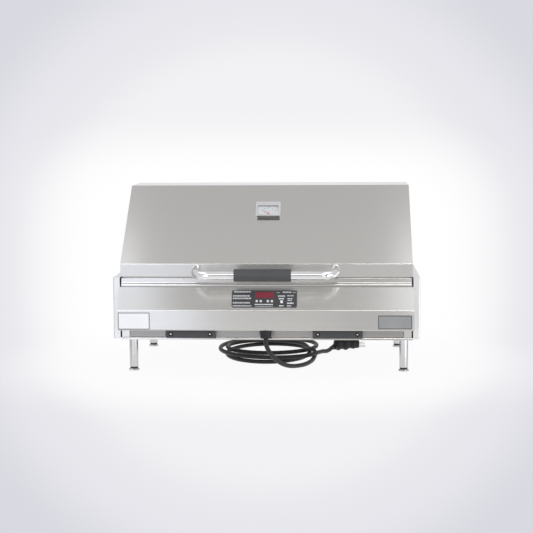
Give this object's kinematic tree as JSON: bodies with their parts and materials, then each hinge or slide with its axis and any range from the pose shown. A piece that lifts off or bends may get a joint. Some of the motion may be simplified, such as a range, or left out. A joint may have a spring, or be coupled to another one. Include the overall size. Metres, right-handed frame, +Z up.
{
  "type": "electric table grill",
  "caption": "Stainless table grill on levelling legs: hinged hood with bar handle and thermometer, sloped keypad front, slide-out drip trays, lift-out grates and a coiled mains cord.",
  "frame": {"origin": "on the table, under the middle of the grill's box without the cord", "axes": "+X to the grill's right as its user sees it from the front, +Y to the back, +Z up"},
  "size_m": [0.813, 0.6384, 0.5005],
  "materials": {
    "brushed_stainless": "brushed",
    "tray_steel": "brushed",
    "firebox_steel": "satin",
    "bright_steel": "polished",
    "grate_steel": "satin",
    "handle_chrome": "polished",
    "element_sheath": "oxidised",
    "black_grip": "matte",
    "black_plastic": "fine texture",
    "black_rubber": "satin",
    "plug_brass": "nickel plated",
    "overlay_film": "satin film",
    "display_red": "gloss",
    "key_white": "satin",
    "dial_white": "matte",
    "needle_red": "satin",
    "lens_clear": "clear",
    "board_green": "solder mask",
    "terminal_ivory": "ceramic"
  },
  "bodies": {
    "base": {"side_panel_left": "brushed_stainless", "side_panel_right": "brushed_stainless", "base_pan": "brushed_stainless", "rear_panel": "brushed_stainless", "front_rail": "brushed_stainless", "control_fascia": "brushed_stainless", "tray_guide_left": "tray_steel", "tray_guide_right": "tray_steel", "tray_divider": "tray_steel", "firebox": "firebox_steel", "heat_shield": "firebox_steel", "element_rests": "firebox_steel", "leg_front_left": "bright_steel", "leg_front_right": "bright_steel", "leg_rear_left": "bright_steel", "leg_rear_right": "bright_steel", "hinge_base_left": "bright_steel", "hinge_base_right": "bright_steel", "hinge_pin_left": "bright_steel", "hinge_pin_right": "bright_steel", "temperature_probe": "bright_steel", "heating_element": "element_sheath", "power_relay": "black_plastic", "strain_relief": "black_rubber", "cord_lead": "black_rubber", "cord_coil": "black_rubber", "cord_tail": "black_rubber", "plug_body": "black_rubber", "plug_blades": "plug_brass", "keypad_overlay": "overlay_film", "display_window": "display_red", "control_board": "board_green", "terminal_block": "terminal_ivory"},
    "hood": {"hood_skin": "brushed_stainless", "hood_end_left": "brushed_stainless", "hood_end_right": "brushed_stainless", "hood_handle": "handle_chrome", "handle_grip": "black_grip", "hinge_leaf_left": "bright_steel", "hinge_leaf_right": "bright_steel", "thermometer_case": "handle_chrome", "thermometer_dial": "dial_white", "thermometer_lens": "lens_clear"},
    "needle": {"thermometer_needle": "needle_red"},
    "tray_left": {"tray_left": "tray_steel", "tray_handle_left": "black_plastic"},
    "grate_left": {"grate_left": "grate_steel"},
    "tray_right": {"tray_right": "tray_steel", "tray_handle_right": "black_plastic"},
    "grate_right": {"grate_right": "grate_steel"},
    "foot_front_left": {"foot_front_left": "bright_steel"},
    "foot_front_right": {"foot_front_right": "bright_steel"},
    "foot_rear_left": {"foot_rear_left": "bright_steel"},
    "foot_rear_right": {"foot_rear_right": "bright_steel"},
    "key_1": {"key_1": "key_white"},
    "key_2": {"key_2": "key_white"},
    "key_3": {"key_3": "key_white"},
    "key_4": {"key_4": "key_white"}
  },
  "joints": [
    {"name": "hood_hinge", "type": "hinge", "parent": "base", "child": "hood", "pos_m": [0, 0.27025, 0.2725], "axis": [-1, 0, 0], "range_deg": [0, 90]},
    {"name": "needle_turn", "type": "hinge", "parent": "hood", "child": "needle", "pos_m": [0, -0.1016, 0.42748], "axis": [0, 0.648, -0.7616], "range_deg": [0, 110], "stiffness_Nm_per_rad": 0.0005, "springref_deg": -11.46},
    {"name": "tray_left_slide", "type": "slide", "parent": "base", "child": "tray_left", "axis": [0, -1, 0], "range_m": [0, 0.4]},
    {"name": "tray_right_slide", "type": "slide", "parent": "base", "child": "tray_right", "axis": [0, -1, 0], "range_m": [0, 0.4]},
    {"name": "grate_left_lift", "type": "slide", "parent": "base", "child": "grate_left", "axis": [0, 0, 1], "range_m": [0, 0.05]},
    {"name": "grate_right_lift", "type": "slide", "parent": "base", "child": "grate_right", "axis": [0, 0, 1], "range_m": [0, 0.05]},
    {"name": "foot_front_left_level", "type": "slide", "parent": "base", "child": "foot_front_left", "axis": [0, 0, -1], "range_m": [0, 0.02]},
    {"name": "foot_front_right_level", "type": "slide", "parent": "base", "child": "foot_front_right", "axis": [0, 0, -1], "range_m": [0, 0.02]},
    {"name": "foot_rear_left_level", "type": "slide", "parent": "base", "child": "foot_rear_left", "axis": [0, 0, -1], "range_m": [0, 0.02]},
    {"name": "foot_rear_right_level", "type": "slide", "parent": "base", "child": "foot_rear_right", "axis": [0, 0, -1], "range_m": [0, 0.02]},
    {"name": "key_1_press", "type": "slide", "parent": "base", "child": "key_1", "axis": [0, 0.8756, -0.4831], "range_m": [0, 0.0006], "stiffness_N_per_m": 2500},
    {"name": "key_2_press", "type": "slide", "parent": "base", "child": "key_2", "axis": [0, 0.8756, -0.4831], "range_m": [0, 0.0006], "stiffness_N_per_m": 2500},
    {"name": "key_3_press", "type": "slide", "parent": "base", "child": "key_3", "axis": [0, 0.8756, -0.4831], "range_m": [0, 0.0006], "stiffness_N_per_m": 2500},
    {"name": "key_4_press", "type": "slide", "parent": "base", "child": "key_4", "axis": [0, 0.8756, -0.4831], "range_m": [0, 0.0006], "stiffness_N_per_m": 2500}
  ]
}
